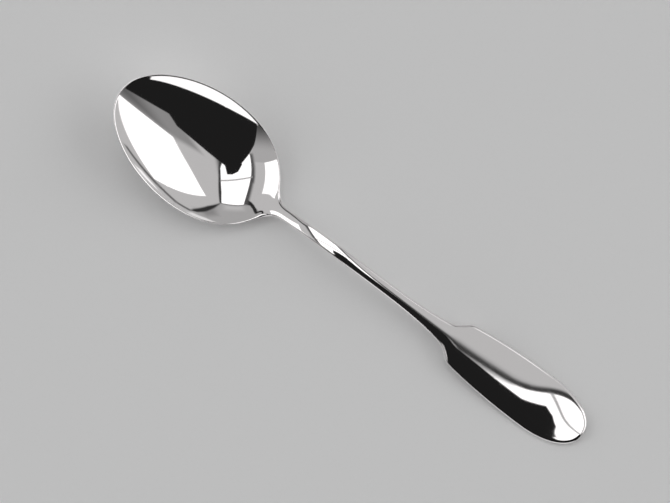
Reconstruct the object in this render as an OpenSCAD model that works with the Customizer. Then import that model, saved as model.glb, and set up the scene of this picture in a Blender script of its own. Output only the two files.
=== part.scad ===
// Tablespoon of the plain fiddle pattern, lying face up on a table: bowl, stem and handle end.
// Millimetres. +X runs from the tip of the bowl to the end of the handle, +Z is up and the
// table is at Z = 0. The origin is under the middle of the overall length.
// The surface is one run of closed cross-sections. The pieces meet on flat cross-sections.

/* [Bowl] */
// Length of the bowl, tip to heel
bowl_length = 67.4; // [60:0.2:76]
// Greatest width of the bowl
bowl_width = 44.9; // [36:0.1:52]
// Depth of the bowl below its rim
bowl_depth = 9; // [6:0.2:12]
// How far the widest part is shifted towards the heel
bowl_taper = 0.096; // [0:0.005:0.2]
// Share of the flatter, fuller cross-section in the bowl
bowl_fullness = 0.3; // [0:0.05:0.6]
// How softly the hollow of the bowl runs out into the stem
heel_softness = 0.2; // [0.06:0.005:0.24]
// Radius factor of the fillet where the rim runs into the stem
neck_fillet = 0.11; // [0.06:0.01:0.16]
// Thickness of the wall at the rim
rim_thickness = 1.4; // [1.2:0.1:2.4]
// Extra thickness at the bottom of the bowl
base_extra = 0.5; // [0.3:0.1:1.2]
// Width of the rounded lip
lip_round = 0.7; // [0.4:0.05:1]

/* [Drop under the heel] */
// Length of the raised tongue at the back of the bowl
drop_length = 13; // [9:0.5:18]
// Width of the raised tongue
drop_width = 8.4; // [6:0.2:12]
// Height of the raised tongue
drop_relief = 0.8; // [0.5:0.1:1.2]

/* [Stem] */
// Length from the heel of the bowl to the shoulders
stem_length = 84.2; // [70:0.2:100]
// Width of the slim part of the stem
stem_width = 4.9; // [4:0.1:6.5]
// Extra width that the stem gains before the shoulders
stem_flare = 4.8; // [1:0.2:6]
// Thickness of the stem at its edges
stem_thickness = 2.7; // [2.4:0.1:3.6]
// Rise of the stem's face above its edges
stem_crown = 0.38; // [0.1:0.02:0.6]
// Rounding of the stem's long edges
stem_round = 1.2; // [0.7:0.1:1.6]

/* [Handle end] */
// Length from the shoulders to the end of the handle
fiddle_length = 58.4; // [48:0.2:68]
// Greatest width of the handle
fiddle_width = 22; // [18:0.1:27]
// Width of the handle at the middle of the shoulders
shoulder_width = 13.4; // [12:0.2:17]
// Angle of the shoulders from the length of the handle
shoulder_angle = 39.4; // [28:0.2:48]
// Part of the handle end that lies beyond its widest place
end_share = 0.365; // [0.3:0.005:0.45]
// Squareness of the rounded end
end_roundness = 2.25; // [2:0.02:2.6]
// Thickness of the handle at its edges
fiddle_thickness = 1.5; // [1.3:0.1:2.2]
// Rise of the handle's face above its edges
fiddle_crown = 0.95; // [0.6:0.05:1.6]
// Rounding of the handle's edges
fiddle_round = 1.3; // [0.4:0.05:1.6]

/* [Side profile] */
// Height of the rim at the tip
tip_height = 21.4; // [16:0.1:23]
// Height of the rim half way along the bowl
waist_height = 13.8; // [11:0.1:15]
// Height of the rim where it begins to turn towards the stem
throat_height = 8.15; // [7.4:0.05:9.5]
// Height at the heel, where the rim runs into the stem
heel_height = 7.1; // [6:0.05:8]
// Height of the stem on its rise from the heel
rise_height = 11.35; // [10:0.05:13]
// Height of the stem at its crest
crest_height = 13.55; // [11.5:0.05:15]
// Height of the stem where it falls towards the shoulders
fall_height = 11.85; // [9.8:0.05:13]
// Height of the middle of the face just before the shoulders
shoulder_height = 7.3; // [6:0.1:8.5]
// Height of the middle of the face in the palm of the handle
palm_height = 3.85; // [3.2:0.05:5]
// Height of the middle of the face where the end turns up
lift_height = 2.45; // [2.3:0.05:3]
// Height of the middle of the face at the end of the handle
end_height = 3.2; // [2.8:0.1:5]

/* [Hidden] */
overall_length = bowl_length + stem_length + fiddle_length;
shoulder_x = bowl_length + stem_length;
widest_x = overall_length - end_share * fiddle_length;
neck_x = 1.06 * bowl_length;
collar_x = shoulder_x - 0.09 * fiddle_length;
flare_x = bowl_length + 0.535 * stem_length;
// The long curve of the handle's sides would close this far before the widest place.
side_sweep = 0.95 * fiddle_length;
// Depth of the small flats on which the spoon rests.
rest_flat = 0.4 * base_extra;
// Swell of the back below its edges, on the stem and on the handle end.
stem_belly = 0.1 * stem_thickness;
fiddle_belly = 0.1 * fiddle_thickness;
// Reach of the soft corners where the stem, the shoulders and the handle's sides meet.
shoulder_soft = 0.058 * shoulder_width;
side_soft = 0.0225 * fiddle_width;
// Steps across the face of one cross-section.
face_steps = 20;

function clamp(a) = min(1, max(0, a));
function ease(a, b, x) = let (t = clamp((x - a) / (b - a))) t * t * t * (10 - 15 * t + 6 * t * t);
function soft_floor(f, d) = d * ln(1 + exp(f / d));
function soft_max(a, b, k) = (a + b + sqrt((a - b) * (a - b) + k * k)) / 2;

// Natural cubic spline: forward sweep and back substitution for its second derivatives.
function sweep(x, z, i = 1, c = [0], d = [0]) =
    i == len(x) - 1 ? [c, d] :
    let (
        h = x[i] - x[i - 1],
        k = x[i + 1] - x[i],
        p = 2 * (h + k) - h * c[i - 1],
        r = 6 * ((z[i + 1] - z[i]) / k - (z[i] - z[i - 1]) / h) - h * d[i - 1]
    )
    sweep(x, z, i + 1, concat(c, [k / p]), concat(d, [r / p]));
function unsweep(cd, i, m) = i < 0 ? m : unsweep(cd, i - 1, concat([cd[1][i] - cd[0][i] * m[0]], m));
function spline(x, z, m, a, i = 0) =
    i < len(x) - 2 && a > x[i + 1] ? spline(x, z, m, a, i + 1) :
    let (h = x[i + 1] - x[i], p = x[i + 1] - a, q = a - x[i])
    (m[i] * p * p * p + m[i + 1] * q * q * q) / (6 * h)
    + (z[i] / h - m[i] * h / 6) * p
    + (z[i + 1] / h - m[i + 1] * h / 6) * q;

// The profile is the rim's height on the bowl and the middle of the face on the stem and handle.
stem_knots = [for (k = [0.03, 0.17, 0.36, 0.58]) bowl_length + k * stem_length];
fiddle_knots = [for (k = [-0.05, 0.42, 0.82, 1]) shoulder_x + k * fiddle_length];
profile_x = concat([0, 0.5 * bowl_length, 0.8 * bowl_length], stem_knots, fiddle_knots);
profile_z = [tip_height, waist_height, throat_height, heel_height, rise_height, crest_height,
    fall_height, shoulder_height, palm_height, lift_height, end_height];
profile_m = unsweep(sweep(profile_x, profile_z), len(profile_x) - 2, [0]);

// Egg of the bowl: 0 on its outline, 1 at its middle, below 0 outside.
function egg_raw(t) = (1 - t * t) * (1 + bowl_taper * t) * (1 + bowl_taper * t);
egg_top = max([for (t = [-0.2 : 0.005 : 0.4]) egg_raw(t)]);
function egg(x) = egg_raw(2 * x / bowl_length - 1) / egg_top;

// Square of the half-width of the outline.
function front_square(x) =
    let (
        f = egg(x),
        on = ease(0.3 * bowl_length, 0.9 * bowl_length, x),
        gain = max(0, (x - flare_x) / (shoulder_x - flare_x)),
        stem = on * (stem_width + stem_flare * gain * gain * gain) / 2,
        bowl = x < bowl_length / 2 ? f : (1 - on) * f + on * soft_floor(f, neck_fillet)
    )
    bowl * bowl_width * bowl_width / 4 + stem * stem;
function fiddle_half(x) =
    let (
        back = x < widest_x,
        r = clamp(back ? (widest_x - x) / side_sweep : (x - widest_x) / (overall_length - widest_x)),
        n = back ? 2 : end_roundness
    )
    fiddle_width / 2 * pow(1 - pow(r, n), 1 / n);
function back_half(x) =
    let (
        line = shoulder_width / 2 + (x - shoulder_x) * tan(shoulder_angle),
        shoulder = soft_max(sqrt(front_square(x)), line, shoulder_soft)
    )
    x > widest_x - 0.175 * fiddle_length ? fiddle_half(x) : -soft_max(-shoulder, -fiddle_half(x), side_soft);
function half_square(x) = x < shoulder_x - 0.21 * fiddle_length ? front_square(x) : pow(back_half(x), 2);

// How far along each change has come: bowl to stem, and stem to handle end.
function on_stem(x) = ease(0.8 * bowl_length, 1.12 * bowl_length, x);
function on_fiddle(x) = ease(shoulder_x - 0.28 * fiddle_length, shoulder_x + 0.245 * fiddle_length, x);
function along(x, bowl, stem, fiddle) =
    let (s = on_stem(x), f = on_fiddle(x)) bowl * (1 - s) + s * (stem * (1 - f) + fiddle * f);
function end_fade(x) = 1 - pow(clamp((x - widest_x) / (overall_length - widest_x)), 8);
function dish(x) =
    let (k = ease(0.5 * bowl_length, 0.85 * bowl_length, x), f = egg(x))
    x < bowl_length / 2 ? f : (1 - k) * f + k * soft_floor(f, heel_softness);
function edge_drop(x) = along(x, rim_thickness, stem_thickness, fiddle_thickness);
function belly(x) = along(x, 0, stem_belly, fiddle_belly) * end_fade(x);
function crown(x) = along(x, 0, stem_crown, fiddle_crown) * end_fade(x);
function raw_edge(x) = spline(profile_x, profile_z, profile_m, x) - crown(x);
function raw_under(x) = raw_edge(x) - edge_drop(x) - belly(x) - (bowl_depth + base_extra) * dish(x);

// The spoon is laid on the table: a straight line through its two lowest places becomes Z = 0.
function lowest(xs, i = 1, at = 0) = i == len(xs) ? xs[at]
    : lowest(xs, i + 1, raw_under(xs[i]) < raw_under(xs[at]) ? i : at);
bowl_low = lowest([for (i = [10 : 36]) bowl_length * i / 40]);
handle_low = lowest([for (i = [10 : 46]) shoulder_x + fiddle_length * i / 50]);
table_slope = (raw_under(handle_low) - raw_under(bowl_low)) / (handle_low - bowl_low);
function table(x) = raw_under(bowl_low) + table_slope * (x - bowl_low) + rest_flat;
function edge_height(x) = raw_edge(x) - table(x);

// Height of the face (side 1) or the back (side 0) at the fraction v of the half-width.
// Across the bowl the hollow is part parabola and part fourth power; past the heel it is level.
function fullness(x, v) =
    let (
        q = v * v,
        hollow = (1 - bowl_fullness) * (1 - q) + bowl_fullness * (1 - q * q),
        level = ease(0.97 * bowl_length, 1.05 * bowl_length, x)
    )
    (1 - level) * hollow + level;
function rounding(x, v) =
    let (
        w2 = max(0, half_square(x)),
        step = bowl_length / 68000,
        slope = (half_square(x + step) - half_square(x - step)) / (2 * step),
        grade = sqrt(slope * slope + 4 * w2 * v * v),
        distance = w2 * (1 - v * v) / max(grade, step / 1000),
        s = clamp(1 - distance / along(x, lip_round, stem_round, fiddle_round))
    )
    1 - sqrt(1 - s * s);
function face_height(x, v) =
    edge_height(x) - bowl_depth * dish(x) * fullness(x, v)
    + crown(x) * (1 - v * v)
    - 0.4 * edge_drop(x) * rounding(x, v);
function back_height(x, v) = max(0,
    edge_height(x) - edge_drop(x) - (bowl_depth + base_extra) * dish(x) * fullness(x, v)
    - belly(x) * (1 - v * v) + 0.6 * edge_drop(x) * rounding(x, v));

// One closed cross-section, first across the face and then back along the underside.
function ring(x) =
    let (w = sqrt(max(0, half_square(x))))
    [for (j = [0 : 2 * face_steps - 1])
        let (a = 180 * j / face_steps - 90, v = sin(a))
        [x - overall_length / 2, w * v, j <= face_steps ? face_height(x, v) : back_height(x, v)]];

// A solid from a list of rings. A pole is a single point that closes an end.
module skin(rings, first_pole = [], last_pole = []) {
    n = len(rings[0]);
    k = len(rings);
    poles = concat(first_pole, last_pole);
    points = concat([for (r = rings) each r], poles);
    sides = [for (i = [0 : k - 2], j = [0 : n - 1])
        let (a = i * n + j, b = i * n + (j + 1) % n)
        each [[a, b, b + n], [a, b + n, a + n]]];
    first = len(first_pole) == 0 ? [[for (j = [n - 1 : -1 : 0]) j]]
        : [for (j = [0 : n - 1]) [(j + 1) % n, j, k * n]];
    last = len(last_pole) == 0 ? [[for (j = [0 : n - 1]) (k - 1) * n + j]]
        : [for (j = [0 : n - 1]) [(k - 1) * n + j, (k - 1) * n + (j + 1) % n, len(points) - 1]];
    polyhedron(points = points, faces = concat(first, sides, last), convexity = 6);
}

function spread(a, b, n) = [for (i = [0 : n]) a + (b - a) * i / n];
bowl_stations = concat(
    [for (i = [1 : 15]) bowl_length / 2 * (1 - cos(6 * i))],
    spread(bowl_length / 2, neck_x, 22));
stem_stations = spread(neck_x, collar_x, 26);
fiddle_stations = concat(
    spread(collar_x, 0.65 * shoulder_x + 0.35 * widest_x, 16),
    [for (i = [1 : 8]) shoulder_x + (widest_x - shoulder_x) * (0.35 + 0.65 * i / 9)],
    [for (i = [0 : 12]) widest_x + (overall_length - widest_x) * sin(7 * i)]);
tip_point = [-overall_length / 2, 0, face_height(0, 0)];
end_point = [overall_length / 2, 0, edge_height(overall_length) - 0.4 * edge_drop(overall_length)];

module bowl() {
    color([0.83, 0.83, 0.82]) skin([for (x = bowl_stations) ring(x)], first_pole = [tip_point]);
}

module stem() {
    color([0.80, 0.80, 0.79]) skin([for (x = stem_stations) ring(x)]);
}

module fiddle_end() {
    color([0.85, 0.85, 0.84]) skin([for (x = fiddle_stations) ring(x)], last_pole = [end_point]);
}

// Blank of the tongue under the heel, thick enough to reach into the wall of the bowl.
drop_x = 1.044 * bowl_length;
function drop_half(x) =
    let (r = clamp((drop_x - x) / drop_length))
    drop_width / 2 * sqrt(max(0.01, 1 - pow(abs(2 * r - 1.1) / 1.12, 2.2)));
function drop_ring(x) =
    let (w = drop_half(x), wide = sqrt(half_square(x)), r = clamp((drop_x - x) / drop_length))
    [for (j = [0 : 23])
        let (
            s = cos(180 * j / 12),
            y = w * s,
            under = back_height(x, clamp(abs(y) / wide)),
            low = drop_relief * (1.15 * (1 - pow(2 * r - 1, 4)) * (1 - s * s) - 0.15)
        )
        [x - overall_length / 2, y, j <= 12 ? under + 0.35 * rim_thickness : under - low]];

module drop() {
    color([0.78, 0.78, 0.77]) difference() {
        skin([for (x = spread(drop_x - drop_length, drop_x, 16)) drop_ring(x)]);
        bowl();
    }
}

bowl();
drop();
stem();
fiddle_end();
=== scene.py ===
# %% [markdown]
# # A silver tablespoon
#
# The spoon is one polished forging: an egg-shaped bowl, a slim stem and a handle end of the plain
# fiddle pattern. This lesson skins it with smooth numpy surfaces, gives it a polished silver finish,
# and lights it in a small white tent, because a mirror finish shows nothing but what stands around it.

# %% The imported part
import math

import bpy
import numpy as np
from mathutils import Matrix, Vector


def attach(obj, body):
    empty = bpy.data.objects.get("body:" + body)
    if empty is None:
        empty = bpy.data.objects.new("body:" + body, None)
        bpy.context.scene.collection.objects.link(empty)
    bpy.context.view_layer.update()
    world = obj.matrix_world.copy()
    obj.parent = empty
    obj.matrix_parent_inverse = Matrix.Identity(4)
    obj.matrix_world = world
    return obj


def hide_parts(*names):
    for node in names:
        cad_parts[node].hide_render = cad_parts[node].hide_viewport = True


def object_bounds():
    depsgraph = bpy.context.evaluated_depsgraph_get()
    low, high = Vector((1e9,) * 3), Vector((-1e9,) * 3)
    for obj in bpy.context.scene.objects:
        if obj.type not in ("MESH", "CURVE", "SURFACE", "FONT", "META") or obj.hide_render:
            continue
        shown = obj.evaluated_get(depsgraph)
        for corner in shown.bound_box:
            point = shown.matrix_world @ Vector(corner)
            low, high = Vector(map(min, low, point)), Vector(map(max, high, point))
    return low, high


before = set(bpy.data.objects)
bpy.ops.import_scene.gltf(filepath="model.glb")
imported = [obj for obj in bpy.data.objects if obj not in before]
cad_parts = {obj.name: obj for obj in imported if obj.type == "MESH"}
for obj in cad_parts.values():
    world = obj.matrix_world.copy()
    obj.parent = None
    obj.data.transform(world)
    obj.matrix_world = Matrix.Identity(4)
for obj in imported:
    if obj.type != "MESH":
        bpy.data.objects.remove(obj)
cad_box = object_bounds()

print("CAD nodes:", ", ".join(sorted(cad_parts)))
print("CAD box in mm:", [[round(1000 * c, 2) for c in corner] for corner in cad_box])

# %% [markdown]
# ## Where the camera stands
#
# The picture is taken from high above, with a long lens. The camera could be turned with a tracking
# constraint, but plain numbers are easier to follow: it stands back from a point on the table by one
# distance, at one height angle, and the spoon lies across the picture at one angle.

# %% Camera
HEIGHT_ANGLE = math.radians(85.0)
ACROSS = math.radians(36.44)
DISTANCE = 1.501
LOOK_AT = np.array([-0.00809, 0.00046, 0.0])
LENS, SENSOR = 218.9, 36.0

right = np.array([math.cos(ACROSS), math.sin(ACROSS), 0.0])
away = np.array([-math.sin(ACROSS), math.cos(ACROSS), 0.0])
up = np.array([0.0, 0.0, 1.0])


def add_object(name, data):
    """A new object at the origin, in the scene's own collection."""
    made = bpy.data.objects.new(name, data)
    bpy.context.scene.collection.objects.link(made)
    return made


camera = add_object("camera", bpy.data.cameras.new("camera"))
camera.location = LOOK_AT + DISTANCE * (math.sin(HEIGHT_ANGLE) * up - math.cos(HEIGHT_ANGLE) * away)
camera.rotation_euler = (math.pi / 2 - HEIGHT_ANGLE, 0.0, ACROSS)
camera.data.sensor_fit = "HORIZONTAL"
camera.data.sensor_width = SENSOR
camera.data.lens = LENS
bpy.context.scene.camera = camera
bpy.context.scene.view_settings.view_transform = "Standard"
print("camera at", np.round(camera.location, 3), "with a", LENS, "mm lens")

# %% [markdown]
# ## The sizes of the spoon
#
# These are the sizes of the CAD part, in millimetres from the tip of the bowl. They could be measured on
# its solids, but those have facets. Repeating the few driving sizes lets the smooth skin lie on the true
# surface.

# %% Sizes in millimetres
BOWL_LENGTH, BOWL_WIDTH, BOWL_DEPTH = 67.4, 44.9, 9.0
BOWL_TAPER, BOWL_FULLNESS, NECK_FILLET, HEEL_SOFTNESS = 0.096, 0.3, 0.11, 0.2
RIM_THICKNESS, BASE_EXTRA, LIP_ROUND = 1.4, 0.5, 0.7
DROP_LENGTH, DROP_WIDTH, DROP_RELIEF = 13.0, 8.4, 0.8
STEM_LENGTH, STEM_WIDTH, STEM_FLARE = 84.2, 4.9, 4.8
STEM_THICKNESS, STEM_CROWN, STEM_ROUND = 2.7, 0.38, 1.2
FIDDLE_LENGTH, FIDDLE_WIDTH, SHOULDER_WIDTH = 58.4, 22.0, 13.4
SHOULDER_ANGLE, END_SHARE, END_ROUNDNESS = math.radians(39.4), 0.365, 2.25
FIDDLE_THICKNESS, FIDDLE_CROWN, FIDDLE_ROUND = 1.5, 0.95, 1.3

# %% Places along the spoon
OVERALL = BOWL_LENGTH + STEM_LENGTH + FIDDLE_LENGTH
SHOULDER_X = BOWL_LENGTH + STEM_LENGTH
WIDEST_X = OVERALL - END_SHARE * FIDDLE_LENGTH
FLARE_X = BOWL_LENGTH + 0.535 * STEM_LENGTH      # where the stem begins to widen
NECK_X = 1.06 * BOWL_LENGTH                      # where bowl and stem meet
COLLAR_X = SHOULDER_X - 0.09 * FIDDLE_LENGTH     # where stem and handle end meet
DROP_X = 1.044 * BOWL_LENGTH                     # root of the drop
print("overall length", round(OVERALL, 1), "mm")
print("the forms meet at", round(NECK_X, 2), "and", round(COLLAR_X, 2), "mm from the tip")

# %% [markdown]
# ## The side profile
#
# Seen from the side, a spoon is a long S: the rim falls from the tip to the heel, the stem rises to a
# crest, and the handle falls and turns up at its end. A Bezier curve would do, but a natural spline
# through a few heights needs no handles to adjust, and numpy solves it in one line.

# %% Side profile
RIM_KNOTS = BOWL_LENGTH * np.array([0.0, 0.5, 0.8])
STEM_KNOTS = BOWL_LENGTH + STEM_LENGTH * np.array([0.03, 0.17, 0.36, 0.58])
FIDDLE_KNOTS = SHOULDER_X + FIDDLE_LENGTH * np.array([-0.05, 0.42, 0.82, 1.0])
RIM_HEIGHTS = [21.4, 13.8, 8.15]             # tip, waist, throat
STEM_HEIGHTS = [7.1, 11.35, 13.55, 11.85]    # heel, rise, crest, fall
FIDDLE_HEIGHTS = [7.3, 3.85, 2.45, 3.2]      # shoulder, palm, lift, end
PROFILE_X = np.concatenate([RIM_KNOTS, STEM_KNOTS, FIDDLE_KNOTS])
PROFILE_Z = np.array(RIM_HEIGHTS + STEM_HEIGHTS + FIDDLE_HEIGHTS)


def spline_bend(x, z):
    """Second derivatives of the natural cubic spline: each inner knot balances the slopes on its two
    sides, and the two ends are straight."""
    gap, rise = np.diff(x), np.diff(z) / np.diff(x)
    rows = np.diag(2 * (gap[:-1] + gap[1:])) + np.diag(gap[1:-1], 1) + np.diag(gap[1:-1], -1)
    return np.concatenate([[0.0], np.linalg.solve(rows, 6 * np.diff(rise)), [0.0]])


PROFILE_M = spline_bend(PROFILE_X, PROFILE_Z)


def profile(x):
    """Height of the rim on the bowl and of the middle of the face on the handle: on each stretch, a
    cubic that joins its neighbours in height, slope and bend."""
    i = np.clip(np.searchsorted(PROFILE_X, x) - 1, 0, len(PROFILE_X) - 2)
    h = np.diff(PROFILE_X)[i]
    p, q = PROFILE_X[i + 1] - x, x - PROFILE_X[i]
    return ((PROFILE_M[i] * p**3 + PROFILE_M[i + 1] * q**3) / (6 * h)
            + (PROFILE_Z[i] / h - PROFILE_M[i] * h / 6) * p
            + (PROFILE_Z[i + 1] / h - PROFILE_M[i + 1] * h / 6) * q)


print("profile heights in mm:", np.round(profile(np.linspace(0, OVERALL, 8)), 1))

# %% [markdown]
# ## The outline
#
# From above, the bowl is an egg, the stem a slim bar that flares, and the handle end a long leaf with
# sloping shoulders. Cutting it from a drawn curve is possible, but three formulas that run softly into
# each other give one clean outline with no joints in it.

# %% Soft steps and corners


def ease(a, b, x):
    """0 before a, 1 after b, and a smooth fifth-power step between them."""
    t = np.clip((x - a) / (b - a), 0, 1)
    return t**3 * (10 - 15 * t + 6 * t * t)


def soft_floor(f, d):
    """f where it is well above 0, and a soft landing on 0 below: d times log(1 + exp(f / d))."""
    return d * np.logaddexp(0, f / d)


def soft_max(a, b, k):
    """The larger of a and b, with a corner of reach k rounded off."""
    return (a + b + np.sqrt((a - b) ** 2 + k * k)) / 2


print("half way through a soft step:", ease(0.0, 1.0, 0.5))

# %% Outline of bowl and stem
STEM_GROWS = BOWL_LENGTH * np.array([0.3, 0.9])    # the stem's width sets in over this stretch


def egg_shape(t):
    """Squared half-width of an egg from -1 at the tip to 1 at the heel: 1 - t squared, weighted to the
    heel."""
    return (1 - t * t) * (1 + BOWL_TAPER * t) ** 2


EGG_TOP = egg_shape(np.arange(-0.2, 0.4, 0.005)).max()


def egg(x):
    """1 in the middle of the bowl, 0 on its outline and less than 0 outside."""
    return egg_shape(2 * x / BOWL_LENGTH - 1) / EGG_TOP


def front_square(x):
    """Squared half-width of bowl and stem: the egg fades into the stem through a fillet."""
    on = ease(*STEM_GROWS, x)
    gain = np.maximum(0, (x - FLARE_X) / (SHOULDER_X - FLARE_X))
    stem = on * (STEM_WIDTH + STEM_FLARE * gain**3) / 2
    f = egg(x)
    bowl = np.where(x < BOWL_LENGTH / 2, f, (1 - on) * f + on * soft_floor(f, NECK_FILLET))
    return bowl * BOWL_WIDTH**2 / 4 + stem**2


widths = 2 * np.sqrt(front_square(np.array([BOWL_LENGTH / 2, FLARE_X])))
print("widths in mm of bowl and stem:", np.round(widths, 2))

# %% Outline of the handle end
SIDE_SWEEP = 0.95 * FIDDLE_LENGTH                 # the sides aim to close this far before the widest place
STEM_ALONE = SHOULDER_X - 0.21 * FIDDLE_LENGTH    # up to here there is no shoulder
LEAF_ALONE = WIDEST_X - 0.175 * FIDDLE_LENGTH     # from here on there is no shoulder
SHOULDER_SOFT = 0.058 * SHOULDER_WIDTH            # reach of the corner between stem and shoulder
SIDE_SOFT = 0.0225 * FIDDLE_WIDTH                 # reach of the corner between shoulder and side


def leaf_half(x):
    """Half-width of the handle end: two superellipses that share the widest place."""
    behind = x < WIDEST_X
    r = np.where(behind, (WIDEST_X - x) / SIDE_SWEEP, (x - WIDEST_X) / (OVERALL - WIDEST_X))
    n = np.where(behind, 2.0, END_ROUNDNESS)
    return FIDDLE_WIDTH / 2 * (1 - np.clip(r, 0, 1) ** n) ** (1 / n)


def half_square(x):
    """Squared half-width of the whole spoon: stem, then the sloping shoulders, then the leaf."""
    front = front_square(x)
    line = SHOULDER_WIDTH / 2 + (x - SHOULDER_X) * math.tan(SHOULDER_ANGLE)
    shoulder = soft_max(np.sqrt(np.maximum(front, 0)), line, SHOULDER_SOFT)
    leaf = leaf_half(x)
    joined = -soft_max(-shoulder, -leaf, SIDE_SOFT)
    return np.where(x < STEM_ALONE, front, np.where(x > LEAF_ALONE, leaf, joined) ** 2)


widths = 2 * np.sqrt(half_square(np.array([SHOULDER_X, WIDEST_X])))
print("widths in mm of shoulders and leaf:", np.round(widths, 2))

# %% [markdown]
# ## The cross-sections
#
# Each cross-section is a closed ring: over the face, round the edge, and back along the underside. The
# bowl is dished, the stem and handle are slightly crowned, and every edge is rounded. Sculpting would
# show ripples in a mirror finish, so the two heights are formulas too.

# %% How the section changes along the spoon
TO_STEM = BOWL_LENGTH * np.array([0.8, 1.12])
TO_LEAF = SHOULDER_X + FIDDLE_LENGTH * np.array([-0.28, 0.245])
HOLLOW_ENDS = BOWL_LENGTH * np.array([0.5, 0.85])
BELLY_SHARE = 0.1


def along(x, bowl, stem, leaf):
    """A value for the bowl, the stem and the handle end, with smooth changes between them."""
    s, f = ease(*TO_STEM, x), ease(*TO_LEAF, x)
    return bowl * (1 - s) + s * (stem * (1 - f) + leaf * f)


def end_fade(x):
    """1 along the spoon, falling to 0 at the very end of the handle by an eighth power."""
    return 1 - np.clip((x - WIDEST_X) / (OVERALL - WIDEST_X), 0, 1) ** 8


def dish(x):
    """How deep the bowl is here, from 0 to 1: the egg, with a soft run-out at the heel."""
    k, f = ease(*HOLLOW_ENDS, x), egg(x)
    return np.where(x < BOWL_LENGTH / 2, f, (1 - k) * f + k * soft_floor(f, HEEL_SOFTNESS))


def edge_drop(x):
    """Thickness at the edge."""
    return along(x, RIM_THICKNESS, STEM_THICKNESS, FIDDLE_THICKNESS)


def belly(x):
    """Swell of the back below its edges, a share of their thickness."""
    return along(x, 0.0, BELLY_SHARE * STEM_THICKNESS, BELLY_SHARE * FIDDLE_THICKNESS) * end_fade(x)


def crown(x):
    """Swell of the face above its edges."""
    return along(x, 0.0, STEM_CROWN, FIDDLE_CROWN) * end_fade(x)


print("edge thickness in mm at tip, stem and end:", edge_drop(np.array([0.0, FLARE_X, OVERALL])))

# %% [markdown]
# ## Laying it on the table
#
# A spoon that lies face up touches the table in two places, under the bowl and under the handle. It
# could be turned as an object, but a finished piece stays unturned, so a sloping line through its two
# lowest places is taken off every height. Both places are worn to small flats.

# %% Where it rests
REST_FLAT = 0.4 * BASE_EXTRA


def raw_edge(x):
    """Height of the edges, before the spoon is laid on the table."""
    return profile(x) - crown(x)


def raw_under(x):
    """Lowest line of the underside, before the spoon is laid on the table."""
    return raw_edge(x) - edge_drop(x) - belly(x) - (BOWL_DEPTH + BASE_EXTRA) * dish(x)


bowl_spots = BOWL_LENGTH * np.arange(10, 37) / 40
handle_spots = SHOULDER_X + FIDDLE_LENGTH * np.arange(10, 47) / 50
bowl_low = bowl_spots[np.argmin(raw_under(bowl_spots))]
handle_low = handle_spots[np.argmin(raw_under(handle_spots))]
table_slope = (raw_under(handle_low) - raw_under(bowl_low)) / (handle_low - bowl_low)


def edge_height(x):
    """Height of the edges above the table, which takes a thin flat off the two lowest places."""
    return raw_edge(x) - (raw_under(bowl_low) + table_slope * (x - bowl_low) + REST_FLAT)


print("rests at", round(bowl_low, 1), "and", round(handle_low, 1), "mm from the tip")

# %% The ring of one cross-section
LEVEL_PAST = BOWL_LENGTH * np.array([0.97, 1.05])    # past the heel the face is level across
FACE_SHARE = 0.4                                     # the part of an edge's rounding that is on the face
STEP = BOWL_LENGTH / 68000                           # over which the outline's slope is taken
TINY = 1e-30                                         # keeps a division safe where a length is 0


def rounding(x, v):
    """0 on the flat of the section and 1 at its edge: a quarter circle over the last stretch, measured
    square to the outline as height over slope of the outline's function."""
    w2 = np.maximum(0, half_square(x))
    slope = (half_square(x + STEP) - half_square(x - STEP)) / (2 * STEP)
    reach = w2 * (1 - v * v) / np.maximum(np.sqrt(slope**2 + 4 * w2 * v * v), TINY)
    s = np.clip(1 - reach / along(x, LIP_ROUND, STEM_ROUND, FIDDLE_ROUND), 0, 1)
    return 1 - np.sqrt(1 - s * s)


def face_and_back(x, v):
    """Heights of face and underside at the fraction v of the half-width: the edge height, less the dish
    (part parabola, part fourth power, level past the heel), plus the crown, rounded off at the edge."""
    q = v * v
    level = ease(*LEVEL_PAST, x)
    full = (1 - level) * ((1 - BOWL_FULLNESS) * (1 - q) + BOWL_FULLNESS * (1 - q * q)) + level
    edge, drop, hollow = edge_height(x), edge_drop(x), dish(x) * full
    cut = drop * rounding(x, v)
    face = edge - BOWL_DEPTH * hollow + crown(x) * (1 - q) - FACE_SHARE * cut
    back = edge - drop - (BOWL_DEPTH + BASE_EXTRA) * hollow - belly(x) * (1 - q) + (1 - FACE_SHARE) * cut
    return face, np.maximum(0, back)


def spoon_skin(x, a):
    """Point of the skin at x mm from the tip and the ring angle a: across by the sine of a, on the face
    where its cosine is positive and on the underside where it is negative. In metres."""
    v = np.sin(a) + 0 * x
    face, back = face_and_back(x, v)
    across = np.sqrt(np.maximum(0, half_square(x))) * v
    height = np.where(np.cos(a) >= 0, face, back)
    return np.stack([x + 0 * v - OVERALL / 2, across, height], -1) / 1000


middle = spoon_skin(np.array([bowl_low, FLARE_X, handle_low]), 0.0)
print("face heights in mm at bowl, stem and leaf:", np.round(1000 * middle[:, 2], 2))

# %% [markdown]
# ## Turning a skin into a mesh
#
# A grid of rings becomes quads, and a fan closes each end. Blender can work out smooth normals by
# itself, but a mirror shows every small error, so the normals come from the formula: the cross product
# of the two directions in which the skin runs. Neighbouring pieces then shade as one surface.

# %% Mesh helper
RING = 224
TURN_RINGS, BOWL_RINGS, STEM_RINGS, LEAF_RINGS, DROP_RINGS = 72, 84, 100, 100, 60
SHORT_X, SHORT_A = 1e-3, 1e-4


def normals_of(skin, x, a):
    """Outward normals: direction along the spoon crossed with direction round the ring, each taken as
    the difference over a very small step."""
    along_x = skin(x + SHORT_X, a) - skin(x - SHORT_X, a)
    round_a = skin(x, a + SHORT_A) - skin(x, a - SHORT_A)
    n = np.cross(along_x, round_a)
    return n / np.maximum(np.linalg.norm(n, axis=-1, keepdims=True), TINY)


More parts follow.
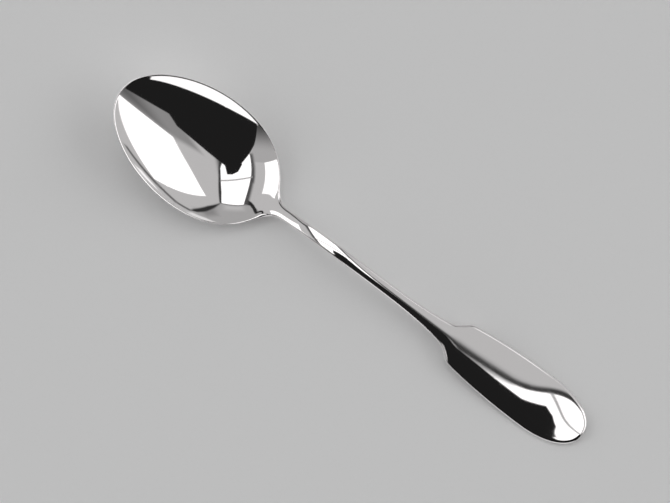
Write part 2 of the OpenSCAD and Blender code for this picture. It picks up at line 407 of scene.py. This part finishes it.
def faces_of(rings):
    """Quads between neighbouring rings, then the two fans to the points that close the ends."""
    i, j = np.meshgrid(np.arange(rings - 1) * RING, np.arange(RING), indexing="ij")
    k = (j + 1) % RING
    quads = np.stack([i + j, i + RING + j, i + RING + k, i + k], -1).reshape(-1, 4)
    j = np.arange(RING)
    k, last, tip = (j + 1) % RING, (rings - 1) * RING, 0 * j + rings * RING
    fans = np.concatenate([np.stack([tip, j, k], -1), np.stack([tip + 1, last + k, last + j], -1)])
    return quads.tolist() + fans.tolist()


def make_piece(name, skin, stations, first_end, last_end):
    """A closed mesh from one ring per station, kept inside the CAD box. Each end is a fan to one point."""
    a = np.arange(RING) * 2 * math.pi / RING - math.pi / 2
    x = np.asarray(stations)[:, None]
    points = np.clip(skin(x, a), cad_box[0], cad_box[1]).reshape(-1, 3)
    normals = normals_of(skin, x, a).reshape(-1, 3)
    mesh = bpy.data.meshes.new(name)
    mesh.from_pydata(np.concatenate([points, [first_end, last_end]]).tolist(), [], faces_of(len(stations)))
    mesh.shade_smooth()
    mesh.normals_split_custom_set_from_vertices(np.concatenate([normals, [[-1, 0, 0], [1, 0, 0]]]).tolist())
    print(name, "has", len(mesh.vertices), "points and", len(mesh.polygons), "faces")
    return add_object(name, mesh)


print("a ring has", RING, "points")

# %% [markdown]
# ## Bowl, stem and handle end
#
# The real spoon is one piece of metal. It could be one mesh, but here it is cut on two flat
# cross-sections into the three forms that a silversmith names, so that each can be picked on its own.
# Rings crowd together where the outline turns fast, at the tip and at the rounded end.

# %% The three forms


def mid_section(x):
    """Middle of the cross-section at x, in metres."""
    face, back = face_and_back(np.array(x), np.array(0.0))
    return [(x - OVERALL / 2) / 1000, 0.0, float(face + back) / 2000]


turn = np.radians(np.linspace(0, 90, TURN_RINGS + 1)[1:])
tip_to_waist = BOWL_LENGTH / 2 * (1 - np.cos(turn))
waist_to_neck = np.linspace(BOWL_LENGTH / 2, NECK_X, BOWL_RINGS + 1)[1:]
neck_to_collar = np.linspace(NECK_X, COLLAR_X, STEM_RINGS + 1)
collar_to_widest = np.linspace(COLLAR_X, WIDEST_X, LEAF_RINGS + 1)
widest_to_end = WIDEST_X + (OVERALL - WIDEST_X) * np.sin(turn[:-1])

tip, neck, collar, end = (mid_section(x) for x in (0.0, NECK_X, COLLAR_X, OVERALL))
bowl = make_piece("silver_bowl", spoon_skin, np.concatenate([tip_to_waist, waist_to_neck]), tip, neck)
stem = make_piece("silver_stem", spoon_skin, neck_to_collar, neck, collar)
leaf_stations = np.concatenate([collar_to_widest, widest_to_end])
leaf = make_piece("silver_handle_end", spoon_skin, leaf_stations, collar, end)

# %% [markdown]
# ## The drop under the heel
#
# A spoon of this pattern has a small raised tongue on the back of the bowl, where the stem runs out. It
# could be pushed up out of the bowl's own mesh, but as a low lens of its own, sunk a little into the
# back, it keeps a crisp edge.

# %% Drop
DROP_SINK = 0.15                                           # share of its relief by which its rim is sunk
SUNK_END = 0.2                                             # so close to its ends, in mm, it is all inside
PLAN_MIDDLE, PLAN_REACH, PLAN_POWER = 1.1, 1.12, 2.2       # its plan, from 0 at the root to 2 at the far end
PLAN_LEAST = 0.01                                          # keeps its two ends from closing to a point


def drop_skin(x, a):
    """A tongue on the back of the bowl: its plan is the root of a superellipse, its relief a fourth-power
    arch along it and a parabola across it. The hidden top follows the back just inside the metal."""
    r = np.clip((DROP_X - x) / DROP_LENGTH, 0, 1)
    plan = 1 - (np.abs(2 * r - PLAN_MIDDLE) / PLAN_REACH) ** PLAN_POWER
    half = DROP_WIDTH / 2 * np.sqrt(np.maximum(PLAN_LEAST, plan))
    s = np.sin(a) + 0 * x
    across = half * s
    back = face_and_back(x + 0 * s, np.clip(np.abs(across) / np.sqrt(half_square(x)), 0, 1))[1]
    arch = (1 + DROP_SINK) * (1 - (2 * r - 1) ** 4) * (1 - s * s)
    height = back + DROP_RELIEF * np.where(np.cos(a) >= 0, DROP_SINK, DROP_SINK - arch)
    return np.stack([x + 0 * s - OVERALL / 2, across, height], -1) / 1000


drop_stations = np.linspace(DROP_X - DROP_LENGTH + SUNK_END, DROP_X - SUNK_END, DROP_RINGS + 1)
top_and_back = drop_skin(drop_stations[[0, -1], None], np.array([0.0, math.pi]))
drop = make_piece("silver_drop", drop_skin, drop_stations, *top_and_back.mean(1).tolist())

# %% [markdown]
# ## Writing shaders as sums
#
# A finish is a small sum of patterns. Nodes could be placed one by one, but wrapping a socket in a class
# with the usual operators lets the sum be written as a sum, and each operator adds one Math node.

# %% Node helper


class Value:
    """A socket of a node tree that can be added, subtracted and multiplied."""

    def __init__(self, tree, socket):
        self.tree, self.socket = tree, socket

    def math(self, operation, first, second):
        return Shader(self.tree).node("ShaderNodeMath", {"operation": operation}, {0: first, 1: second})

    def __add__(self, other):
        return self.math("ADD", self, other)

    def __sub__(self, other):
        return self.math("SUBTRACT", self, other)

    def __mul__(self, other):
        return self.math("MULTIPLY", self, other)

    def __rsub__(self, other):
        return self.math("SUBTRACT", other, self)

    def low(self, other):
        return self.math("MINIMUM", self, other)

    __radd__, __rmul__ = __add__, __mul__


class Shader:
    """Adds nodes to one tree: type, settings, then the values or links of its sockets."""

    def __init__(self, tree):
        self.tree = tree

    def node(self, kind, settings=None, sockets=None, out=0):
        made = self.tree.nodes.new(kind)
        for key, value in (settings or {}).items():
            setattr(made, key, value)
        for key, value in (sockets or {}).items():
            if isinstance(value, Value):
                self.tree.links.new(value.socket, made.inputs[key])
            else:
                made.inputs[key].default_value = value
        return Value(self.tree, made.outputs[out]) if len(made.outputs) else made


def fresh(owner):
    """The empty node tree of a material or a world."""
    owner.use_nodes = True
    owner.node_tree.nodes.clear()
    return Shader(owner.node_tree)


print("node helper ready")

# %% [markdown]
# ## Polished silver
#
# Silver that has been buffed is a mirror with a faint warm tone. Close up it has hairlines from wiping,
# in two crossing directions, and a slight veil where it has been handled. Scratches could be painted on a
# picture, but stretched noise needs no file and is as fine as one likes. It changes the roughness and,
# very slightly, the slope of the surface.

# %% Silver
BRIGHT_TONE, VEILED_TONE = (0.955, 0.935, 0.935, 1.0), (0.93, 0.905, 0.905, 1.0)
POLISH, VEIL_DULLS, LINES_DULL = 0.025, 0.02, 0.04    # roughness of bare polish, and what is added to it
STREAK_WAVES, CREST_FROM, CREST_TO = 60.0, 0.62, 0.8
silver = bpy.data.materials.new("polished_silver")
on_silver = fresh(silver)
place = on_silver.node("ShaderNodeTexCoord", out="Object")


def hairlines(turned, fine):
    """Thin streaks: noise with few waves to the metre along the streak and many more, fine, across it, of
    which only the crests are kept. The streaks are turned by some degrees."""
    laid = on_silver.node("ShaderNodeMapping", {}, {
        "Vector": place, "Rotation": (0.0, 0.0, math.radians(turned)), "Scale": (STREAK_WAVES, fine, fine)})
    noise = on_silver.node("ShaderNodeTexNoise", {}, {"Vector": laid, "Scale": 1.0, "Detail": 2.0})
    return on_silver.node("ShaderNodeMapRange", {}, {
        "Value": noise, "From Min": CREST_FROM, "From Max": CREST_TO})


veil = on_silver.node("ShaderNodeTexNoise", {}, {"Vector": place, "Scale": 55.0, "Detail": 3.0})
lines = hairlines(28.0, 2600.0) + hairlines(-41.0, 3400.0)
roughness = POLISH + VEIL_DULLS * veil + LINES_DULL * lines
scratched = on_silver.node("ShaderNodeBump", {}, {"Strength": 0.02, "Distance": 0.00002, "Height": lines})
tone = on_silver.node("ShaderNodeMix", {"data_type": "RGBA"},
                      {"Factor": veil, "A": BRIGHT_TONE, "B": VEILED_TONE}, out=2)
metal = on_silver.node("ShaderNodeBsdfPrincipled", {}, {
    "Base Color": tone, "Metallic": 1.0, "Roughness": roughness, "Normal": scratched})
on_silver.node("ShaderNodeOutputMaterial", {}, {"Surface": metal})
print(len(silver.node_tree.nodes), "nodes in the silver")

# %% Silver on the four pieces
for piece, node in ((bowl, "bowl"), (drop, "drop"), (stem, "stem"), (leaf, "fiddle_end")):
    piece.data.materials.append(silver)
    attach(piece, "root")
    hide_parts(node)
    print(piece.name, "stands for", node)

# %% [markdown]
# ## The table
#
# A sheet of plain pale paper. It could curve up behind as a backdrop, but seen from above a flat sheet
# is all there is. It lies a hair below the spoon so that the two never share a face.

# %% Table
SHEET, SHEET_TOP = 20.0, -5e-5
DARK_GRAIN, PALE_GRAIN = (0.90, 0.90, 0.90, 1.0), (0.92, 0.92, 0.92, 1.0)
paper = bpy.data.materials.new("pale_paper")
on_paper = fresh(paper)
spot = on_paper.node("ShaderNodeTexCoord", out="Object")
grain = on_paper.node("ShaderNodeTexNoise", {}, {"Vector": spot, "Scale": 900.0})
shade = on_paper.node("ShaderNodeMix", {"data_type": "RGBA"},
                      {"Factor": grain, "A": DARK_GRAIN, "B": PALE_GRAIN}, out=2)
matt = on_paper.node("ShaderNodeBsdfPrincipled", {}, {
    "Base Color": shade, "Roughness": 0.9, "Specular IOR Level": 0.1})
on_paper.node("ShaderNodeOutputMaterial", {}, {"Surface": matt})

sheet = bpy.data.meshes.new("table")
corners = [(-SHEET, -SHEET), (SHEET, -SHEET), (SHEET, SHEET), (-SHEET, SHEET)]
sheet.from_pydata([(x, y, SHEET_TOP) for x, y in corners], [], [(0, 1, 2, 3)])
sheet.materials.append(paper)
table = add_object("table", sheet)
print("table of", 2 * SHEET, "m")

# %% [markdown]
# ## The light tent
#
# Tableware is photographed in a tent of white cloth with lit panels, because polished metal mirrors the
# whole room. Lamps and cards could stand round the spoon, but they would be in the way from other sides,
# so the tent is drawn on the world: each cloth or panel is a patch of the sky, bounded by straight edges.
# A straight edge seen from inside is a plane through the spoon, so a patch is where a direction lies on
# the inner side of all its planes.

# %% Patches of the sky
BARE_TENT = 0.5
world = bpy.data.worlds.new("light_tent")
bpy.context.scene.world = world
on_world = fresh(world)
ray = on_world.node("ShaderNodeTexCoord", out="Generated")


def sky(sideways, onwards):
    """Direction at these degrees from straight up: to the right in the picture, and away from its foot."""
    degrees = math.hypot(sideways, onwards)
    flat = math.sin(math.radians(degrees)) / max(degrees, TINY)
    return right * sideways * flat + away * onwards * flat + up * math.cos(math.radians(degrees))


def patch(corners, soft):
    """1 inside the patch and 0 outside: the smallest of the distances to its edge planes, as a ramp
    that is soft degrees wide. The corners go round once, and none of them points inwards."""
    points = np.array([sky(*c) for c in corners])
    planes = np.cross(points, np.roll(points, -1, 0))
    planes /= np.linalg.norm(planes, axis=1, keepdims=True)
    planes *= np.sign((planes @ points.mean(0)).mean())
    inner = None
    for plane in planes:
        side = on_world.node("ShaderNodeVectorMath", {"operation": "DOT_PRODUCT"},
                             {0: ray, 1: tuple(plane)}, out="Value")
        inner = side if inner is None else inner.low(side)
    width = math.sin(math.radians(soft)) / 2
    return on_world.node("ShaderNodeMapRange", {"interpolation_type": "SMOOTHSTEP"},
                         {"Value": inner, "From Min": -width, "From Max": width})


def hang(light, patches):
    """The light with these patches in front of it, one after the other: each takes the place of what is
    behind it. A patch has a name, its corners, a brightness and the softness of its edges in degrees."""
    for name, corners, level, soft in patches:
        mask = patch(corners, soft)
        light = light * (1 - mask) + level * mask
    print("hung:", "; ".join(name for name, *rest in patches))
    return light


# %% [markdown]
# ## Grey cloths
#
# The walls of the tent that no lamp reaches are grey, and they shade off towards the table. One smooth
# gradient would be quicker, but a mirror needs edges to show its form, so each wall has a patch of its
# own, and wide soft patches make it lighter or darker in places. The first patch is dark, and the back
# cloth in front of it leaves only a thin bent seam of it.

# %% Cloths
light = hang(BARE_TENT, [
    ("left seam", [(-13, 31), (-18.7, 31.4), (-23.5, 34.7), (-26.6, 38.6), (-28.2, 44), (-27.6, 52),
                   (-22, 60)], 0.02, 1.2),
    ("back cloth", [(-15, 36), (14, 36), (50, 62.5), (52, 90), (-25, 90), (-25.6, 54), (-24.9, 44.5),
                    (-22, 39.3)], 0.38, 1.0),
    ("back cloth, lit", [(-13, 39), (11, 39), (11, 46), (-13, 46)], 0.52, 12.0),
    ("back cloth, dim", [(24, 46), (42, 58), (34, 66), (22, 60)], 0.24, 12.0),
    ("lit hem", [(20, 79), (34, 80), (54, 70), (50, 66.5), (36, 71)], 0.75, 3.0),
    ("left cloth", [(-90, -24), (-40.5, -14.5), (-26, -14), (-22, -24), (-48, -64), (-85, -60)], 0.40, 2.0),
    ("left shade", [(-95, -40), (-15, -40), (-20, -85), (-90, -85)], 0.06, 32.0),
    ("right shade", [(25, -14), (36, -17), (58, -31), (54, -42), (30, -36)], 0.26, 5.0),
    ("right shade, low", [(42, -24), (64, -36), (58, -50), (44, -44)], 0.10, 12.0),
])

# %% [markdown]
# ## Gaps and seams
#
# Where two cloths hang apart, the dark outside shows as a thin line. Such lines could be left out, but on
# polished metal they draw the curve of the surface better than anything else. They are narrow dark
# patches, a line that bends is made of a few, and beyond the far edge there is one gleam of light.

# %% Gaps
light = hang(light, [
    ("left gap, far", [(-19.5, 38), (-13, 38), (-18, 4), (-23.5, 4)], 0.08, 5.0),
    ("left gap, near", [(-23.5, 12), (-18, 12), (-20, -24), (-24.5, -24)], 0.08, 5.0),
    ("right shadow", [(4, -20), (4, 14), (12.6, 14), (14.4, -20)], 0.05, 6.0),
    ("right gap, far", [(12, 38), (16.6, 36), (13.8, -3), (12.2, -3)], 0.04, 1.8),
    ("right gap, near", [(12.2, 1), (14.2, 1), (13.8, -5), (12.6, -10), (10, -10)], 0.04, 2.0),
    ("right seam", [(14, 35.4), (31, 45.8), (48, 59.2), (50.8, 63.6), (44, 63), (34, 57), (23.4, 46.6)],
     0.03, 2.5),
    ("far edge, left", [(50, 62), (51, 65.5), (62, 60), (60, 57.5)], 0.12, 2.5),
    ("far edge, middle", [(60, 57.5), (62, 60), (69.5, 48), (66.8, 46.5)], 0.12, 2.5),
    ("far edge, right", [(66.8, 46.5), (69.5, 48), (77, 24), (74.5, 23)], 0.12, 2.5),
    ("gleam", [(70.5, 56), (75, 50), (78, 41), (74.5, 42), (71.5, 50)], 1.00, 2.0),
    ("back gap", [(-14, 39), (14, 38), (14, 35.8), (-14, 37)], 0.26, 1.5),
])

# %% [markdown]
# ## Lit ceiling and panels
#
# The ceiling and the panels at the sides are lit from outside and shine a little brighter than white
# paper. Area lamps could take their place, but a patch lights the spoon and shows in its polish at once.
# They hang in front of the gaps, so that their own edges stay sharp. The ceiling has a grey trim at one
# corner and a seam across it.

# %% Ceiling and panels
light = hang(light, [
    ("ceiling trim", [(12, -2), (12.5, -3.4), (11.9, -6.3), (10.7, -9.6), (9.9, -9.6), (10, -8)],
     0.35, 0.6),
    ("ceiling", [(-13.8, 37.4), (12.2, 36.4), (12.2, -4), (11.2, -6.6), (10, -9), (-20.5, -24.5)],
     1.30, 0.8),
    ("ceiling, far corner", [(11, 37), (14.2, 36), (12.4, 18), (11, 18)], 1.30, 0.8),
    ("ceiling seam", [(-21.5, 5.8), (13, 9), (13, 7.4), (-21.5, 4.2)], 0.36, 1.6),
    ("left panel", [(-34.8, 26.3), (-58, 25), (-72, 15.5), (-90, -5), (-90, -24), (-69, -21),
                    (-40.6, -14.5)], 1.30, 1.2),
    ("right panel", [(30.4, 30.6), (68.1, 41.5), (52, -27.2), (37.2, -17)], 1.30, 1.0),
    ("sill", [(-47, -63), (0, -60), (27, -58.5), (17, -76), (5, -88), (-50, -85)], 1.10, 1.0),
])

# %% [markdown]
# ## The open front
#
# The tent is open at the front, towards a dark room, and this gives polished silver its black. A black
# card would do the same in a studio. The corners of a patch all point outwards, so the opening is made
# of five patches that overlap.

# %% Open front
DARK_ROOM, SHARP = 0.012, 0.8
light = hang(light, [
    ("dark front", [(-47, -64.5), (-28, -32.2), (-20, -23), (-9.7, -10), (8.2, -7.2), (10.4, -9.2),
                    (28, -59.2)], DARK_ROOM, SHARP),
    ("top of the front", [(-10, -10), (-5, -1.4), (1, 1.5), (6.4, 1.5), (8, -7.5), (0, -20)],
     DARK_ROOM, SHARP),
    ("right of the front", [(10, -9), (12.7, -10.7), (19.8, -16.2), (31.6, -26.6), (32, -45), (27, -59.6),
                            (0, -50)], DARK_ROOM, SHARP),
    ("right foot", [(28, -32.5), (46, -33.6), (54, -42), (45, -60), (26, -60)], DARK_ROOM, SHARP),
    ("right foot, low", [(26.5, -58), (50, -54), (45, -70), (22, -82), (16.5, -77)], DARK_ROOM, SHARP),
])
glow = on_world.node("ShaderNodeBackground", {}, {"Color": light, "Strength": 1.0})
on_world.node("ShaderNodeOutputWorld", {}, {"Surface": glow})
print(len(world.node_tree.nodes), "nodes in the tent")
